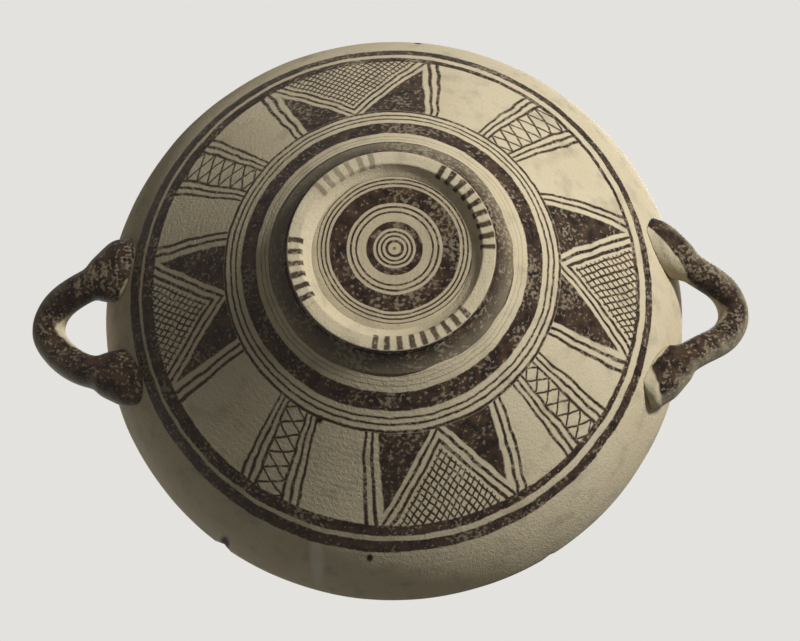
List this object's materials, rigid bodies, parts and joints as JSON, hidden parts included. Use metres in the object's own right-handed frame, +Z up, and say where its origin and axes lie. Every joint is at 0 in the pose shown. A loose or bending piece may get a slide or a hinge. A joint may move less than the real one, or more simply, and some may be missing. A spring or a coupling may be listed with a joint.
{
  "type": "two-handled bowl",
  "caption": "Wide open bowl with conical belly, steeper upper wall, low ring foot and two canted loop handles below the rim.",
  "frame": {"origin": "on the bowl's axis, in the plane that its foot stands on", "axes": "+Z up along the bowl's axis towards the mouth, +X towards the right handle, -Y the front"},
  "size_m": [0.3459, 0.2808, 0.0969],
  "materials": {
    "slipped_clay": "fired clay with a pale matt slip, banded and patterned in dark brown paint",
    "painted_clay": "fired clay covered in worn matt dark brown paint"
  },
  "bodies": {
    "root": {"bowl_body": "slipped_clay", "foot_ring": "slipped_clay", "foot_luting": "painted_clay", "handle_right": "painted_clay", "handle_left": "painted_clay", "luting_right_front": "painted_clay", "luting_right_back": "painted_clay", "luting_left_front": "painted_clay", "luting_left_back": "painted_clay"}
  },
  "joints": []
}
